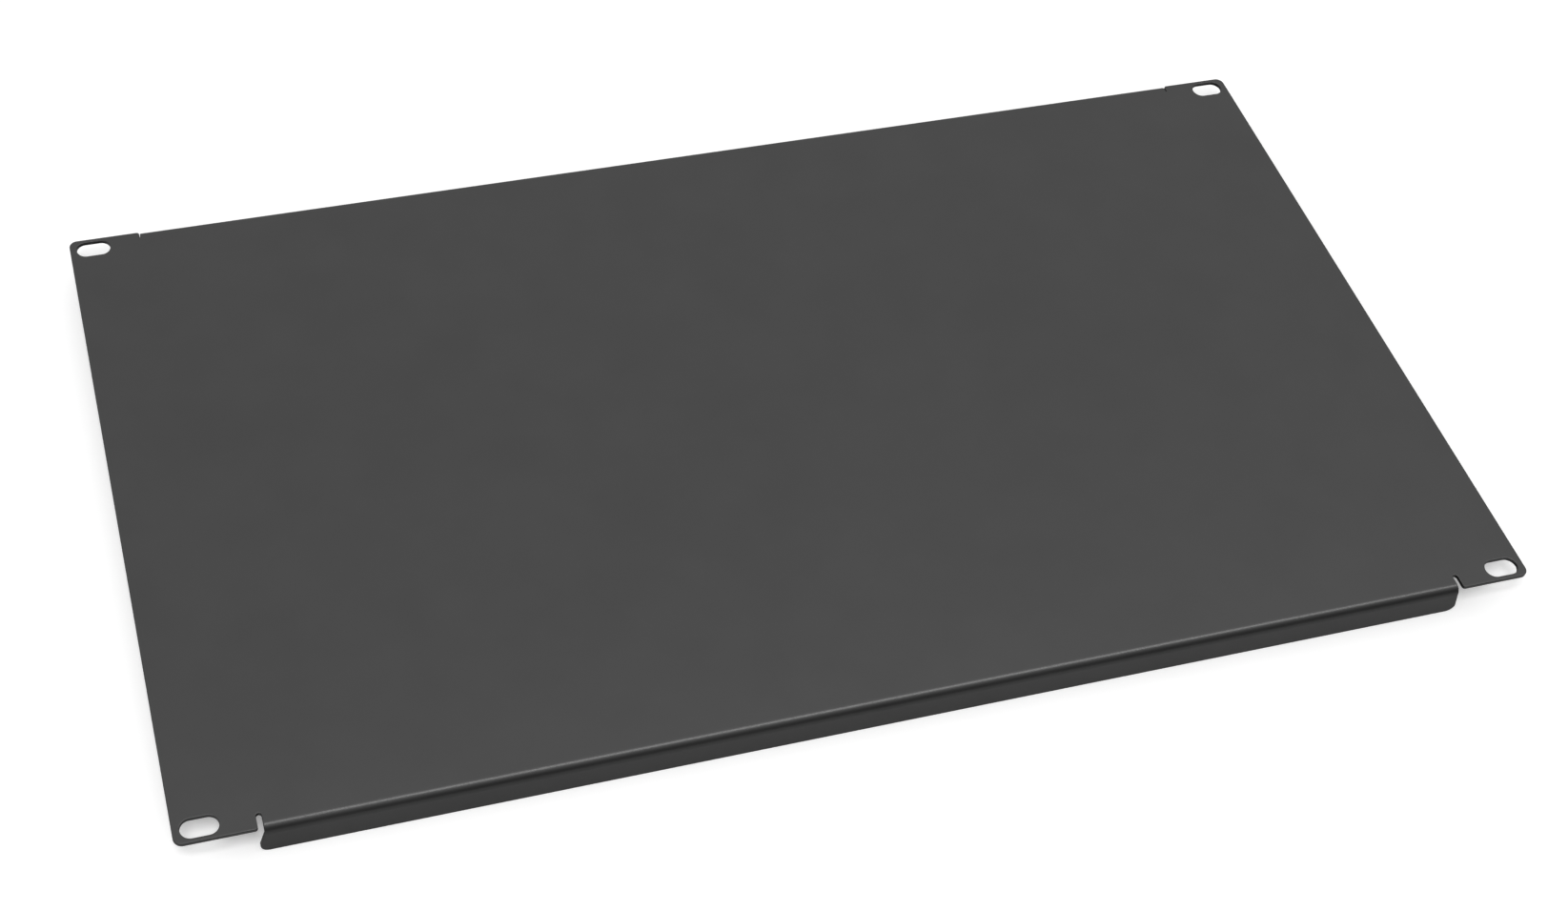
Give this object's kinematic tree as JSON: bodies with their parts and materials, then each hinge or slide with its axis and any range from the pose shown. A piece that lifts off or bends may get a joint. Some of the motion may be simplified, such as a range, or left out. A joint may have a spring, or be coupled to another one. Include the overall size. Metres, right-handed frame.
{
  "type": "rack blanking panel",
  "caption": "Folded steel panel with slotted ears that closes six unused units of a 19 inch rack.",
  "frame": {"origin": "bottom centre of the bounding box, level with the edges of the flanges that the panel lies on", "axes": "+X along the width from ear to ear, +Y from the front flange to the back one, +Z out of the flat face"},
  "size_m": [0.4826, 0.2658, 0.013],
  "materials": {
    "black_paint": "matt black powder coat on steel sheet"
  },
  "bodies": {
    "root": {"panel": "black_paint"}
  },
  "joints": []
}
